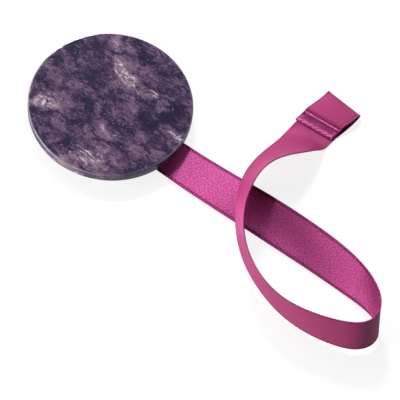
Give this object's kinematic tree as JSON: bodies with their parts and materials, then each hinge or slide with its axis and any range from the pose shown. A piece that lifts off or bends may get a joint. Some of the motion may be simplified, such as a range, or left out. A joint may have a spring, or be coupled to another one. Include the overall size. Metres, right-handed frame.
{
  "type": "magnetic curtain tieback",
  "caption": "Flat round polished stone disc with a magnet on its back, on a satin ribbon whose far end holds a second magnet in a stitched pocket; it ties back a curtain.",
  "frame": {"origin": "centre of the disc magnet's flat face, on the disc's axis", "axes": "+Z out of the disc's polished face, +X along the ribbon as it leaves the disc"},
  "size_m": [0.1583, 0.087, 0.0182],
  "materials": {
    "stone": "polished, cloudy dark purple",
    "satin": "magenta satin on one face, matte on the other",
    "thread": "twisted polyester sewing thread",
    "magnet": "nickel plate",
    "adhesive": "clear cured epoxy"
  },
  "bodies": {
    "disc": {"face_disc": "stone", "disc_glue": "adhesive", "ribbon_anchor": "satin", "magnet_glue": "adhesive", "disc_magnet": "magnet"},
    "ribbon": {"ribbon_run": "satin", "ribbon_rise": "satin", "ribbon_bend_out": "satin", "ribbon_bend_back": "satin", "ribbon_return": "satin", "ribbon_side_bend": "satin", "ribbon_crossing": "satin", "ribbon_descent": "satin"},
    "pocket": {"pocket_lower_layer": "satin", "pocket_fold": "satin", "pocket_upper_layer": "satin", "pocket_hem": "satin", "pocket_magnet": "magnet", "needle_thread": "thread", "bobbin_thread": "thread"}
  },
  "joints": [
    {"name": "ribbon_at_rim", "type": "hinge", "parent": "disc", "child": "ribbon", "pos_m": [0.0316, -0.002, 0.0012], "axis": [0, -1, 0], "range_deg": [-90, 90]},
    {"name": "pocket_at_block", "type": "hinge", "parent": "ribbon", "child": "pocket", "pos_m": [0.06337, 0.0377, 0.00017], "axis": [0.9945, -0.1045, 0], "range_deg": [-90, 90]}
  ]
}
